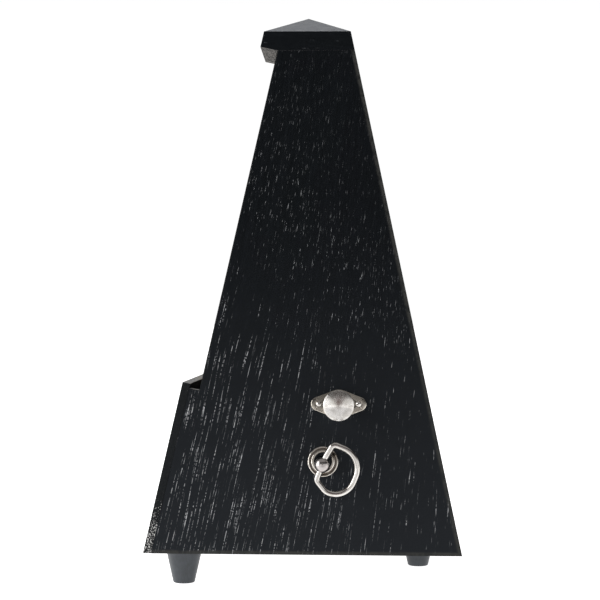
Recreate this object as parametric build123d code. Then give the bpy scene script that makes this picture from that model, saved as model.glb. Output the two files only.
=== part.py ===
from build123d import *
import os
from math import asin, atan, atan2, cos, degrees, hypot, pi, sin

# A wind-up pendulum metronome in a truncated pyramid case, front lid taken off.
# Millimetres, +Z up, front of the case towards -Y, winding side towards +X.

# ---- driving dimensions: case ----
BASE_W = 120.0  # width and depth across the bottom edges
EAVE_W = 35.1  # width and depth under the roof
CASE_H = 204.5  # bottom edges to eave
ROOF_H = 8.4
FOOT_H = 13.0
FOOT_TOP_R = 7.0
FOOT_TIP_R = 4.1
FOOT_EDGE = 0.7  # rounding of the foot's lower edge
FOOT_SCREW_R = 1.2
FOOT_SCREW_HEAD_R = 2.1
FOOT_SCREW_SUNK = 5.0
SIDE_T = 5.0
FRONT_T = 3.1
BACK_T = 3.5
BASE_T = 5.0
LEDGE_S = 65.4  # top of the front board, measured up the slope
NOTCH_DROP = 1.8  # side boards' notch below the front board's top
LID_SEAT = 7.1  # set-back of the side boards behind the front slope
CAP_Z = 196.5  # underside of the cap above the bottom edges
CAP_LIP_S = 202.2  # underside of the cap's front lip, up the slope

# ---- scale ----
BOARD_Q = 10.3  # front of the scale board, square to the front slope
BOARD_T = 3.0
BOARD_S0 = 58.0
BOARD_S1 = 195.0
BOARD_SIDE_GAP = 0.2
SCALE_T = 0.6
SCALE_W = 22.0
SCALE_END_GAP = 3.0
CLIP_T = 0.8
CLIP_W = 12.0
CLIP_NOTCH_W = 3.6
CLIP_NOTCH_DEPTH = 2.5
CLIP_Q = 7.3
PIN_R = 0.6

# ---- pendulum ----
PIVOT_S = 50.0
ROD_W = 3.0
ROD_T = 0.7
ROD_BACK_W = 2.3  # narrower back face keeps the weight on the rod
ROD_Q = 5.35  # rod centre depth at the pivot
ROD_TOP_Q = 6.6  # rod centre depth at the tip
ROD_UP = 150.5
BOB_DROP = 27.0
BOB_R = 12.0
BOB_Q0 = 4.0
BOB_T = 8.5
BOB_EDGE = 1.0
STAFF_R = 1.0
STAFF_END_Q = 36.4
HUB_R = 3.2
HUB_Q0 = 4.3
HUB_Q1 = 8.0
WEIGHT_S = 73.0  # centre of the sliding weight, up the slope
WEIGHT_W = 23.0
WEIGHT_FOOT_W = 17.0
WEIGHT_H = 16.0
WEIGHT_T = 1.6
RUN_GAP = 0.05  # radial clearance of every running fit

# ---- movement ----
PLATE_X = 27.0
PLATE_T = 1.5
PLATE_TOP = 68.0
PLATE_BACK_IN = 91.0
PLATE_STEP = 52.5
PLATE_Q_LOW = 11.0
PLATE_Q_HIGH = 14.8
BRIDGE_T = 2.0
BRIDGE_H = 8.0
FRONT_BRIDGE_Q = 11.6
REAR_COCK_Q = 34.4
COCK_X = -11.0
COCK_T = 1.2
COCK_H = 5.0
ARBOR_R = 1.2
PILLAR_R = 2.0
PILLAR_HEAD_R = 2.6
PILLAR_HEAD_T = 1.2
TOOTH_ADD = 0.9
TOOTH_DED = 1.2
TOOTH_TIP = 0.16
TOOTH_ROOT = 0.56
BARREL_TEETH = 64
SECOND_PINION = 10
SECOND_WHEEL = 54
CROWN_PINION = 10
DRUM_PINION = 12
DRUM_WHEEL = 30
POWER_MODULE = 0.6
TRAIN_MODULE = 0.5
CROWN_Q = 24.0
CROWN_R = 8.0
CROWN_TEETH = 15
CROWN_TIP_X = -3.25
PALLET_R = 3.0
BARREL_R = 17.5
BARREL_X0 = 2.0
BARREL_X1 = 18.0
GREAT_W = 2.5
BARREL_WALL = 1.0
SPRING_T = 0.35
SPRING_TURNS = 5
RATCHET_TEETH = 24
RATCHET_R = 8.5
RATCHET_X = 29.6
RATCHET_T = 2.0
DRUM_TILT = 69.5  # direction from crown arbor to drum arbor, degrees from +Y towards +Z
DRUM_R = 5.0
DRUM_PIN = 1.0
DRUM_X0 = 6.6
ROW_PITCH = 3.0
ROW_BEATS = (6, 4, 3, 2)
HAMMER_IN = 52.0  # behind the bottom front edge, like the other depths ending in IN
HAMMER_H = 60.0
FINGER_X = 4.4
FINGER_T = 1.0

# ---- winding key and bell pull ----
WIND_IN = 67.66
WIND_H = 34.3  # winding arbor above the bottom edges
WIND_ARBOR_R = 2.0
STEM_R = 1.9
STEM_X0 = 34.0
BALL_OUT = 13.12  # ball centre beyond the side board, level with the winding arbor
BALL_R = 2.9
RING_LEAN = 21.5  # top of the ring's hinge axis towards the back, degrees
RING_WIRE_R = 1.1
RING_END = 1.0  # ends of the wire inside the ball, along the hinge axis
RING_CORNERS = ((0, 3.0), (0.95, 8.7), (13.1, 8.9), (13.1, -8.9), (4.6, -8.7), (0, -6.1))
RING_BENDS = (3.0, 1.8, 8.2, 7.2, 4.5, 1.8)
ROSETTE_R = 5.8
ROSETTE_T = 0.8
ROSETTE_RIM_R = 4.45
ROSETTE_RIM_H = 1.8
ROSETTE_BORE_R = 3.5
PULL_IN = 73.5
PULL_H = 55.9
PULL_ROD_R = 1.5
PULL_TRAVEL = 12.0
KNOB_R = 5.8
KNOB_OUT = 3.5  # back of the knob beyond the side board, level with the pull rod
KNOB_LEN = 6.8
KNOB_RISE = 1.2
KNOB_RIM_T = 1.4
KNOB_NECK_R = 2.6
PLATE_LEN = 21.3
PLATE_WAIST = 11.2
PLATE_END_R = 2.7
ESCUTCHEON_T = 0.9
NAIL_PITCH = 15.3
NAIL_R = 0.95
THROUGH_GAP = 0.5  # clearance of shafts through wood

# ---- bell ----
BELL_IN = 62.0
BELL_H = 30.0
BELL_R = 15.0
BELL_X0 = -30.0
BELL_DEPTH = 8.0
BELL_WALL = 0.9
HEAD_R = 2.4
HEAD_GAP = 0.5
HAMMER_X = -32.5

# ---- worked out from the driving dimensions ----
SLOPE = (BASE_W - EAVE_W) / 2 / CASE_H
TILT = atan(SLOPE)
C, S = cos(TILT), sin(TILT)
BASE_TOP = FOOT_H + BASE_T
EAVE_Z = FOOT_H + CASE_H
CAP_BOTTOM = FOOT_H + CAP_Z
FRONT_Y = -BASE_W / 2
BALL_X = BASE_W / 2 - SLOPE * WIND_H + BALL_OUT
KNOB_X0 = BASE_W / 2 - SLOPE * PULL_H + KNOB_OUT
OUTER_X = BALL_X + BALL_R
ORIGIN_X = (OUTER_X - BASE_W / 2) / 2  # the origin is under the middle of the whole outline
FRONT = Plane(origin=(0, FRONT_Y, FOOT_H), x_dir=(1, 0, 0), z_dir=(0, -C, S))

os.makedirs("parts", exist_ok=True)


def write(name, shape):
    export_step(Pos(-ORIGIN_X, 0, 0) * shape, f"parts/{name}.step")


def half(z, inset=0.0):
    """Half width of the case at height z, with every face moved in squarely by inset."""
    return BASE_W / 2 - SLOPE * (z - FOOT_H) - inset / C


def slope_point(s, q, x=0.0):
    """Point s up the front slope and q behind it."""
    return (x, -BASE_W / 2 + s * S + q * C, FOOT_H + s * C - q * S)


def six_faced(low, high):
    """Solid between two four-cornered outlines with flat sides."""
    faces = [Face(Wire.make_polygon([Vector(*p) for p in low], close=True))]
    faces.append(Face(Wire.make_polygon([Vector(*p) for p in high], close=True)))
    for i in range(4):
        j = (i + 1) % 4
        ring = [Vector(*low[i]), Vector(*low[j]), Vector(*high[j]), Vector(*high[i])]
        faces.append(Face(Wire.make_polygon(ring, close=True)))
    solid = Solid(Shell(faces))
    return solid


def tapered(x_low, x_high, y_low, y_high, z0, z1):
    """Block whose four sides follow the case slopes; each argument gives a side's place at z."""
    rings = []
    for z in (z0, z1):
        a, b, c, d = x_low(z), x_high(z), y_low(z), y_high(z)
        rings.append([(a, c, z), (b, c, z), (b, d, z), (a, d, z)])
    return six_faced(rings[0], rings[1])


def plus(inset):
    return lambda z: half(z, inset)


def minus(inset):
    return lambda z: -half(z, inset)


def slope_box(x0, x1, s0, s1, q0, q1):
    """Box square to the front slope."""
    block = Box(x1 - x0, s1 - s0, q1 - q0)
    return FRONT.location * Pos((x0 + x1) / 2, (s0 + s1) / 2, -(q0 + q1) / 2) * block


def slope_rod(radius, s, q0, q1, x=0.0):
    """Cylinder square to the front slope."""
    return FRONT.location * Pos(x, s, -(q0 + q1) / 2) * Cylinder(radius, q1 - q0)


def x_rod(radius, x0, x1, y, z):
    return Pos((x0 + x1) / 2, y, z) * Rot(0, 90, 0) * Cylinder(radius, x1 - x0)


def x_tube(radius, bore, x0, x1, y, z):
    return x_rod(radius, x0, x1, y, z) - x_rod(bore, x0 - 1, x1 + 1, y, z)


def x_slab(outline, x0, x1, y=0.0, z=0.0):
    """Flat outline, drawn with (y, z) points, extruded from x0 to x1."""
    return Pos(x0, y, z) * Plane.YZ.location * extrude(outline, amount=x1 - x0)


def polygon(points):
    return make_face(Polyline(*points, close=True))


def side_face(y, z):
    """Plane on the outside of the right board at height z, local x back, local y up."""
    return Plane(origin=(half(z), y, z), x_dir=(0, 1, 0), z_dir=(C, 0, S))


def meshing_point(a, b, reach_a, reach_b):
    """Lower of the two points at reach_a from a and reach_b from b, in (y, z)."""
    gap = hypot(b[0] - a[0], b[1] - a[1])
    along = (reach_a**2 - reach_b**2 + gap**2) / (2 * gap)
    rise = (reach_a**2 - along**2) ** 0.5
    uy, uz = (b[0] - a[0]) / gap, (b[1] - a[1]) / gap
    one = (a[0] + along * uy - rise * uz, a[1] + along * uz + rise * uy)
    two = (a[0] + along * uy + rise * uz, a[1] + along * uz - rise * uy)
    return min(one, two, key=lambda p: p[1])


def direction(a, b):
    return atan2(b[1] - a[1], b[0] - a[0])


# ---- arbor places, as (y, z) ----
WIND = (FRONT_Y + WIND_IN, FOOT_H + WIND_H)
PULL = (FRONT_Y + PULL_IN, FOOT_H + PULL_H)
BELL = (FRONT_Y + BELL_IN, FOOT_H + BELL_H)
HAMMER = (FRONT_Y + HAMMER_IN, FOOT_H + HAMMER_H)
CROWN = slope_point(PIVOT_S, CROWN_Q)[1:]
SECOND = meshing_point(
    WIND,
    CROWN,
    POWER_MODULE * (BARREL_TEETH + SECOND_PINION) / 2,
    TRAIN_MODULE * (SECOND_WHEEL + CROWN_PINION) / 2,
)
DRUM_REACH = TRAIN_MODULE * (DRUM_WHEEL + DRUM_PINION) / 2
DRUM = (
    CROWN[0] + DRUM_REACH * cos(DRUM_TILT * pi / 180),
    CROWN[1] + DRUM_REACH * sin(DRUM_TILT * pi / 180),
)
PILLARS = (
    (FRONT_Y + 22.0, FOOT_H + 12.0),
    (FRONT_Y + 87.0, FOOT_H + 12.0),
    (FRONT_Y + 87.0, FOOT_H + 52.0),
    (FRONT_Y + 62.0, FOOT_H + 64.0),
)


def gear(teeth, module, x0, x1, centre, phase, bore):
    """Spur wheel on an X arbor with a tooth centred on the direction phase, in radians."""
    tip = module * (teeth / 2 + TOOTH_ADD)
    root = module * (teeth / 2 - TOOTH_DED)
    pitch = 2 * pi / teeth
    points = []
    for i in range(teeth):
        for radius, share in ((root, -TOOTH_ROOT), (tip, -TOOTH_TIP), (tip, TOOTH_TIP), (root, TOOTH_ROOT)):
            angle = phase + pitch * (i + share / 2)
            points.append((radius * cos(angle), radius * sin(angle)))
    wheel = x_slab(polygon(points), x0, x1, *centre)
    return wheel - x_rod(bore, x0 - 1, x1 + 1, *centre)


def gap_phase(teeth, own, other):
    """Phase that turns a gap between teeth towards the other arbor."""
    return direction(own, other) + pi / teeth


# ---- case ----
def side_board(mirror_it):
    board = tapered(plus(SIDE_T), plus(0), minus(FRONT_T), plus(0), FOOT_H, CAP_BOTTOM)
    board -= slope_box(-BASE_W, BASE_W, LEDGE_S - NOTCH_DROP, BASE_W * 3, -BASE_W, LID_SEAT)
    if mirror_it:
        return mirror(board, Plane.YZ)
    board -= x_rod(STEM_R + THROUGH_GAP, 0, BASE_W, *WIND)
    board -= x_rod(PULL_ROD_R + THROUGH_GAP, 0, BASE_W, *PULL)
    for side in (-1, 1):
        board -= nail_shank(side)
    return board


def front_board():
    board = tapered(minus(0), plus(0), minus(0), minus(FRONT_T), FOOT_H, FOOT_H + LEDGE_S)
    return board - slope_box(-BASE_W, BASE_W, LEDGE_S, LEDGE_S * 2, -BASE_W, BASE_W)


def back_board():
    return tapered(minus(SIDE_T), plus(SIDE_T), plus(BACK_T), plus(0), FOOT_H, CAP_BOTTOM)


def base_board():
    board = tapered(
        minus(SIDE_T), plus(SIDE_T), minus(FRONT_T), plus(BACK_T), FOOT_H, BASE_TOP
    )
    for x, y in foot_places():
        board -= Pos(x, y, FOOT_H) * Cylinder(FOOT_SCREW_R, BASE_T * 1.6)
    return board


def cap_block():
    block = tapered(minus(0), plus(0), minus(0), plus(0), CAP_BOTTOM, EAVE_Z)
    eave = EAVE_W / 2
    corners = [(-eave, -eave), (eave, -eave), (eave, eave), (-eave, eave)]
    tip = Vector(0, 0, EAVE_Z + ROOF_H)
    faces = [Face(Wire.make_polygon([Vector(x, y, EAVE_Z) for x, y in corners], close=True))]
    for i in range(4):
        a, b = corners[i], corners[(i + 1) % 4]
        sides = [Vector(*a, EAVE_Z), Vector(*b, EAVE_Z), tip]
        faces.append(Face(Wire.make_polygon(sides, close=True)))
    roof = Solid(Shell(faces))
    lip = slope_box(-BASE_W, BASE_W, 0, CAP_LIP_S, -BASE_W, LID_SEAT)
    return block + roof - lip


def foot_places():
    side = BASE_W / 2 - SIDE_T - FOOT_TOP_R - 2
    front = -(BASE_W / 2 - FRONT_T - FOOT_TOP_R - 4.1)
    return (side, front), (-side, front), (0, side)


def foot(x, y):
    body = Pos(x, y, FOOT_H / 2) * Cone(FOOT_TIP_R, FOOT_TOP_R, FOOT_H)
    edge = body.edges().group_by(Axis.Z)[0]
    body = fillet(edge, FOOT_EDGE)
    body -= Pos(x, y, 0) * Cylinder(FOOT_SCREW_HEAD_R, FOOT_SCREW_SUNK * 2)
    return body - Pos(x, y, 0) * Cylinder(FOOT_SCREW_R, FOOT_H * 3)


def foot_screw(x, y):
    head_t = FOOT_SCREW_HEAD_R * 0.6
    screw = Pos(x, y, FOOT_SCREW_SUNK - head_t / 2) * Cylinder(FOOT_SCREW_HEAD_R, head_t)
    top = BASE_TOP - 1
    shank = Pos(x, y, (FOOT_SCREW_SUNK + top) / 2) * Cylinder(FOOT_SCREW_R, top - FOOT_SCREW_SUNK)
    slot = Pos(x, y, FOOT_SCREW_SUNK - head_t) * Box(FOOT_SCREW_HEAD_R * 2, 0.6, 1.0)
    return screw + shank - slot


def write_case():
    write("side_panel_right", side_board(False))
    write("side_panel_left", side_board(True))
    write("front_panel", front_board())
    write("back_panel", back_board())
    write("base_board", base_board())
    write("cap_block", cap_block())
    names = ("foot_front_right", "foot_front_left", "foot_back")
    for name, place in zip(names, foot_places()):
        write(name, foot(*place))
    write("foot_screws", Compound([foot_screw(*place) for place in foot_places()]))


# ---- scale board, scale plate and park clip ----
def scale_width(s):
    """Inner half width of the case at the scale board, s up the slope."""
    return half(slope_point(s, BOARD_Q + BOARD_T / 2)[2], SIDE_T) - BOARD_SIDE_GAP


def scale_board():
    low, high = scale_width(BOARD_S0), scale_width(BOARD_S1)
    outline = polygon([(-low, BOARD_S0), (low, BOARD_S0), (high, BOARD_S1), (-high, BOARD_S1)])
    board = extrude(outline, amount=-BOARD_T)
    board = FRONT.location * Pos(0, 0, -BOARD_Q) * board
    for x, s in scale_pin_places():
        board -= slope_rod(PIN_R, s, BOARD_Q - 1, BOARD_Q + BOARD_T - 1, x)
    for x in clip_screw_places():
        board -= clip_shank(x)
    return board


def scale_ends():
    return BOARD_S0 + SCALE_END_GAP, BOARD_S1 - SCALE_END_GAP


def scale_pin_places():
    s0, s1 = scale_ends()
    side = SCALE_W / 2 - 2
    return [(x, s) for x in (-side, side) for s in (s0 + 2, s1 - 2)]


def scale_plate():
    s0, s1 = scale_ends()
    plate = slope_box(-SCALE_W / 2, SCALE_W / 2, s0, s1, BOARD_Q - SCALE_T, BOARD_Q)
    for x, s in scale_pin_places():
        plate -= slope_rod(PIN_R, s, BOARD_Q - 2, BOARD_Q + 1, x)
    return plate


def scale_pin(x, s):
    q0 = BOARD_Q - SCALE_T
    head = slope_rod(PIN_R * 1.7, s, q0 - 0.4, q0, x)
    return head + slope_rod(PIN_R, s, q0, BOARD_Q + BOARD_T - 1, x)


def clip_screw_places():
    return (-CLIP_W / 2 + 1.8, CLIP_W / 2 - 1.8)


def clip_shank(x):
    plane = FRONT.location * Pos(x, BOARD_S1, -(BOARD_Q + BOARD_T / 2))
    return plane * Rot(90, 0, 0) * Cylinder(0.6, 8)


def park_clip():
    clip = slope_box(
        -CLIP_W / 2, CLIP_W / 2, BOARD_S1, BOARD_S1 + CLIP_T, CLIP_Q, BOARD_Q + BOARD_T
    )
    notch = CLIP_NOTCH_W / 2
    clip -= slope_box(-notch, notch, BOARD_S1 - 1, BOARD_S1 + 2, 0, CLIP_Q + CLIP_NOTCH_DEPTH)
    for x in clip_screw_places():
        clip -= clip_shank(x)
    return clip


def clip_screw(x):
    top = BOARD_S1 + CLIP_T
    centre = FRONT.location * Pos(x, 0, -(BOARD_Q + BOARD_T / 2))
    head = centre * Pos(0, top + 0.3, 0) * Rot(90, 0, 0) * Cylinder(1.1, 0.6)
    shank = centre * Pos(0, top - 2.3, 0) * Rot(90, 0, 0) * Cylinder(0.6, 4.6)
    return head + shank


def write_scale():
    write("scale_board", scale_board())
    write("scale_plate", scale_plate())
    write("scale_pins", Compound([scale_pin(*place) for place in scale_pin_places()]))
    write("park_clip", park_clip())
    write("clip_screws", Compound([clip_screw(x) for x in clip_screw_places()]))


# ---- pendulum ----
ROD_LEAN = atan((ROD_TOP_Q - ROD_Q) / ROD_UP)
ROD = FRONT.location * Pos(0, PIVOT_S, -ROD_Q) * Rot(degrees(-ROD_LEAN), 0, 0)


def rod_section(grow):
    """Rod outline in local (x, depth), widest at mid thickness and narrower at the back."""
    w, b, t = ROD_W / 2 + grow, ROD_BACK_W / 2 + grow, ROD_T / 2 + grow
    return [(-b, t), (b, t), (w, 0), (b, -t), (-b, -t), (-w, 0)]


def rod_bar(low, high, grow=0.0):
    """Length of the rod profile from low to high along the rod, counted from the pivot."""
    plane = Plane(origin=(0, low, 0), x_dir=(1, 0, 0), z_dir=(0, 1, 0))
    return ROD * plane.location * extrude(polygon(rod_section(grow)), amount=high - low)


def pendulum_rod():
    return rod_bar(-BOB_DROP, ROD_UP) - slope_rod(STAFF_R, PIVOT_S, 0, BOARD_Q)


def lower_bob():
    bob = Cylinder(BOB_R, BOB_T)
    bob = fillet(bob.edges(), BOB_EDGE)
    bob = FRONT.location * Pos(0, PIVOT_S - BOB_DROP, -(BOB_Q0 + BOB_T / 2)) * bob
    return bob - rod_bar(-BOB_DROP, 0)


def staff():
    return slope_rod(STAFF_R, PIVOT_S, HUB_Q0, STAFF_END_Q)


def staff_hub():
    hub = slope_rod(HUB_R, PIVOT_S, HUB_Q0, HUB_Q1)
    hub -= slope_rod(STAFF_R, PIVOT_S, 0, BOARD_Q)
    return hub - rod_bar(-BOB_DROP, BOB_DROP)


def pallet_flags():
    flags = []
    for q, turn in ((CROWN_Q - CROWN_R, 47.0), (CROWN_Q + CROWN_R, -47.0)):
        collar = slope_rod(STAFF_R + 0.7, PIVOT_S, q - 1.1, q + 1.1)
        blade = Pos(-PALLET_R / 2 - 0.4, 0, 0) * Box(PALLET_R - 0.8, 0.8, 2.2)
        blade = FRONT.location * Pos(0, PIVOT_S, -q) * Rot(0, 0, turn) * blade
        flags.append(collar + blade - slope_rod(STAFF_R, PIVOT_S, 0, BASE_W / 2))
    return Compound(flags)


def sliding_weight():
    top, foot_w, h = WEIGHT_W / 2, WEIGHT_FOOT_W / 2, WEIGHT_H / 2
    outline = polygon([(-foot_w, -h), (foot_w, -h), (top, h), (-top, h)])
    body = extrude(outline, amount=WEIGHT_T)
    body = fillet(body.edges().filter_by(Axis.Z), 1.2)
    body = chamfer(body.faces().sort_by(Axis.Z)[-1].edges(), 0.5)
    up = WEIGHT_S - PIVOT_S
    body = ROD * Pos(0, up, -ROD_T / 2) * body
    return body - rod_bar(up - WEIGHT_H, up + WEIGHT_H, RUN_GAP)


def write_pendulum():
    write("pendulum_rod", pendulum_rod())
    write("lower_bob", lower_bob())
    write("pendulum_staff", staff())
    write("staff_hub", staff_hub())
    write("pallet_flags", pallet_flags())
    write("sliding_weight", sliding_weight())


# ---- movement frame ----
def arbor_holes():
    """Running arbors as (place, radius) that pivot in both plates."""
    return (
        (WIND, WIND_ARBOR_R),
        (SECOND, ARBOR_R),
        (DRUM, ARBOR_R),
        (HAMMER, ARBOR_R),
        (PULL, PULL_ROD_R),
    )


def plate(inner, outer, with_crown):
    low, high = min(inner, outer), max(inner, outer)
    step = FOOT_H + PLATE_STEP
    top = FOOT_H + PLATE_TOP
    plate_back = FRONT_Y + PLATE_BACK_IN
    outline = polygon(
        [
            (-half(BASE_TOP, PLATE_Q_LOW), BASE_TOP),
            (-half(step, PLATE_Q_LOW), step),
            (-half(step, PLATE_Q_HIGH), step),
            (-half(top, PLATE_Q_HIGH), top),
            (PILLARS[3][0] + 6, top),
            (plate_back, PILLARS[2][1] + 4),
            (plate_back, BASE_TOP),
        ]
    )
    body = x_slab(outline, low, high)
    for place, radius in arbor_holes():
        body -= x_rod(radius + RUN_GAP, low - 1, high + 1, *place)
    if with_crown:
        body -= x_rod(ARBOR_R + RUN_GAP, low - 1, high + 1, *CROWN)
    for place in PILLARS:
        body -= x_rod(PILLAR_R * 0.6, low - 1, high + 1, *place)
    for place in rail_screw_places():
        body -= x_rod(PIN_R, low - 1, high + 1, *place)
    return body


def pillar(place):
    inner = PLATE_X - PLATE_T / 2
    return x_tube(PILLAR_R, PILLAR_R * 0.6, -inner, inner, *place)


def pillar_bolt(place):
    outer = PLATE_X + PLATE_T / 2
    bolt = x_rod(PILLAR_R * 0.6, -outer, outer, *place)
    for side in (-1, 1):
        ends = sorted((side * outer, side * (outer + PILLAR_HEAD_T)))
        bolt += x_rod(PILLAR_HEAD_R, ends[0], ends[1], *place)
    return bolt


def front_bridge():
    inner = PLATE_X - PLATE_T / 2
    low, high = PIVOT_S - BRIDGE_H / 2, PIVOT_S + BRIDGE_H / 2
    bridge = slope_box(-inner, inner, low, high, FRONT_BRIDGE_Q, FRONT_BRIDGE_Q + BRIDGE_T)
    return bridge - slope_rod(STAFF_R + RUN_GAP, PIVOT_S, 0, BASE_W / 2)


def rear_cock():
    inner = PLATE_X - PLATE_T / 2
    low, high = PIVOT_S - BRIDGE_H / 2, PIVOT_S + BRIDGE_H / 2
    cock = slope_box(-3.5, inner, low, high, REAR_COCK_Q, REAR_COCK_Q + BRIDGE_T - 0.4)
    return cock - slope_rod(STAFF_R + RUN_GAP, PIVOT_S, 0, BASE_W / 2)


def crown_cock():
    """Arm on the back of the front bridge that holds the inner end of the crown arbor."""
    low, high = PIVOT_S - COCK_H / 2, PIVOT_S + COCK_H / 2
    root = FRONT_BRIDGE_Q + BRIDGE_T
    arm = slope_box(COCK_X, COCK_X + COCK_T, low, high, root, CROWN_Q + COCK_H / 2)
    return arm - x_rod(ARBOR_R + RUN_GAP, COCK_X - 1, 0, *CROWN)


def rail_screw_places():
    z = BASE_TOP + 3.5
    return ((FRONT_Y + 35.0, z), (FRONT_Y + 78.0, z))


def rails():
    outer = PLATE_X + PLATE_T / 2
    bars = []
    for side in (-1, 1):
        bar = Pos(side * (outer + 3.5), FRONT_Y + 56, BASE_TOP + 3.5) * Box(7, 56, 7)
        for place in rail_screw_places():
            ends = sorted((side * (outer - 1), side * (outer + 6)))
            bar -= x_rod(PIN_R, ends[0], ends[1], *place)
        bars.append(bar)
    return Compound(bars)


def rail_screws():
    inner = PLATE_X - PLATE_T / 2
    screws = []
    for side in (-1, 1):
        for place in rail_screw_places():
            head = sorted((side * (inner - 0.9), side * inner))
            shank = sorted((side * inner, side * (inner + PLATE_T + 5)))
            screw = x_rod(PIN_R * 2, head[0], head[1], *place)
            screws.append(screw + x_rod(PIN_R, shank[0], shank[1], *place))
    return Compound(screws)


def write_frame():
    inner = PLATE_X - PLATE_T / 2
    outer = PLATE_X + PLATE_T / 2
    write("movement_plate_right", plate(inner, outer, False))
    write("movement_plate_left", plate(-inner, -outer, True))
    write("plate_pillars", Compound([pillar(place) for place in PILLARS]))
    write("pillar_bolts", Compound([pillar_bolt(place) for place in PILLARS]))
    write("front_bridge", front_bridge())
    write("rear_cock", rear_cock())
    write("crown_cock", crown_cock())
    write("movement_rails", rails())
    write("rail_screws", rail_screws())


# ---- train ----
def arbor(place, radius=ARBOR_R):
    outer = PLATE_X + PLATE_T / 2
    return x_rod(radius, -outer, outer, *place)


def barrel():
    great_r = POWER_MODULE * (BARREL_TEETH / 2 - TOOTH_DED)
    drum = x_tube(BARREL_R, BARREL_R - BARREL_WALL, BARREL_X0, BARREL_X1, *WIND)
    phase = direction(WIND, SECOND)
    wheel_end = BARREL_X1 + GREAT_W
    wheel = gear(
        BARREL_TEETH, POWER_MODULE, BARREL_X1, wheel_end, WIND, phase, WIND_ARBOR_R + RUN_GAP
    )
    for i in range(5):
        angle = i * 2 * pi / 5
        spot_r = (great_r + WIND_ARBOR_R) / 2
        spot = (WIND[0] + spot_r * cos(angle), WIND[1] + spot_r * sin(angle))
        wheel -= x_rod(spot_r * 0.36, BARREL_X1 - 1, wheel_end + 1, *spot)
    return drum + wheel


def barrel_cover():
    cover = x_tube(BARREL_R, WIND_ARBOR_R + RUN_GAP, BARREL_X0 - 1, BARREL_X0, *WIND)
    return cover


def mainspring():
    """Coil of half circles growing from the arbor to the barrel wall."""
    start = WIND_ARBOR_R + 1.2
    end = BARREL_R - BARREL_WALL - SPRING_T
    count = SPRING_TURNS * 2
    step = (end - start) / count
    lines = []
    for i in range(count):
        radius = start + step * (i + 0.5)
        shift = step / 2 * (1 if i % 2 else -1)
        first = 180 * (i % 2)
        lines.append(CenterArc((shift, 0), radius, first, 180))
    ribbon = trace(lines, line_width=SPRING_T)
    return x_slab(ribbon, BARREL_X0 + 1.5, BARREL_X1 - 1.5, *WIND)


def second_arbor():
    phase = gap_phase(SECOND_PINION, SECOND, WIND)
    pinion = gear(
        SECOND_PINION, POWER_MODULE, BARREL_X1 - 0.8, BARREL_X1 + GREAT_W + 0.8, SECOND, phase, ARBOR_R / 2
    )
    return arbor(SECOND) + pinion


def second_wheel():
    phase = direction(SECOND, CROWN)
    wheel = gear(SECOND_WHEEL, TRAIN_MODULE, -21.2, -20.0, SECOND, phase, ARBOR_R)
    for i in range(4):
        angle = phase + (i + 0.5) * pi / 2
        spot = (SECOND[0] + 7.4 * cos(angle), SECOND[1] + 7.4 * sin(angle))
        wheel -= x_rod(3.6, -22, -19, *spot)
    collar = x_tube(ARBOR_R * 2, ARBOR_R, -20.0, -18.0, *SECOND)
    return wheel + collar


def crown_arbor():
    outer = PLATE_X + PLATE_T / 2
    shaft = x_rod(ARBOR_R, -outer, CROWN_TIP_X - 2.0, *CROWN)
    first = gap_phase(CROWN_PINION, CROWN, SECOND)
    shaft += gear(CROWN_PINION, TRAIN_MODULE, -22.0, -19.2, CROWN, first, ARBOR_R / 2)
    second = gap_phase(DRUM_PINION, CROWN, DRUM)
    shaft += gear(DRUM_PINION, TRAIN_MODULE, -14.0, -11.2, CROWN, second, ARBOR_R / 2)
    return shaft


def crown_wheel():
    back = CROWN_TIP_X - 4.4
    cup = x_tube(CROWN_R, CROWN_R - 0.9, back, CROWN_TIP_X, *CROWN)
    web = x_tube(CROWN_R, ARBOR_R, back - 0.8, back, *CROWN)
    pitch = 2 * pi * CROWN_R / CROWN_TEETH
    tooth = polygon([(0.05, 0.1), (pitch * 0.9, 0.1), (pitch * 0.55, -2.6), (pitch * 0.3, -2.6)])
    plane = Plane(origin=(CROWN_TIP_X, 0, 0), x_dir=(0, 1, 0), z_dir=(0, 0, 1))
    notch = plane.location * extrude(tooth, amount=CROWN_R + 2)
    for i in range(CROWN_TEETH):
        turn = Rot(360 / CROWN_TEETH * i, 0, 0)
        cup -= Pos(0, CROWN[0], CROWN[1]) * turn * notch
    return cup + web


def drum_arbor():
    return arbor(DRUM)


def drum_wheel():
    wheel = gear(
        DRUM_WHEEL, TRAIN_MODULE, -13.2, -12.0, DRUM, direction(DRUM, CROWN), ARBOR_R
    )
    return wheel + x_tube(ARBOR_R * 2, ARBOR_R, -12.0, -10.0, *DRUM)


def accent_drum():
    length = ROW_PITCH * len(ROW_BEATS) + 0.6
    drum = x_tube(DRUM_R, ARBOR_R, DRUM_X0, DRUM_X0 + length, *DRUM)
    for row, beats in enumerate(ROW_BEATS):
        x = DRUM_X0 + ROW_PITCH * (row + 0.5) + 0.3
        for i in range(beats):
            pin = Pos(x, 0, DRUM_R) * Cylinder(0.5, DRUM_PIN * 2)
            drum += Pos(0, DRUM[0], DRUM[1]) * Rot(360 / beats * i, 0, 0) * pin
    return drum


def write_train():
    write("barrel", barrel())
    write("barrel_cover", barrel_cover())
    write("mainspring", mainspring())
    write("second_arbor", second_arbor())
    write("second_wheel", second_wheel())
    write("crown_arbor", crown_arbor())
    write("crown_wheel", crown_wheel())
    write("drum_arbor", drum_arbor())
    write("drum_wheel", drum_wheel())
    write("accent_drum", accent_drum())


# ---- winding key ----
SPIGOT_R = 1.1
SPIGOT_LEN = 6.0


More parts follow.
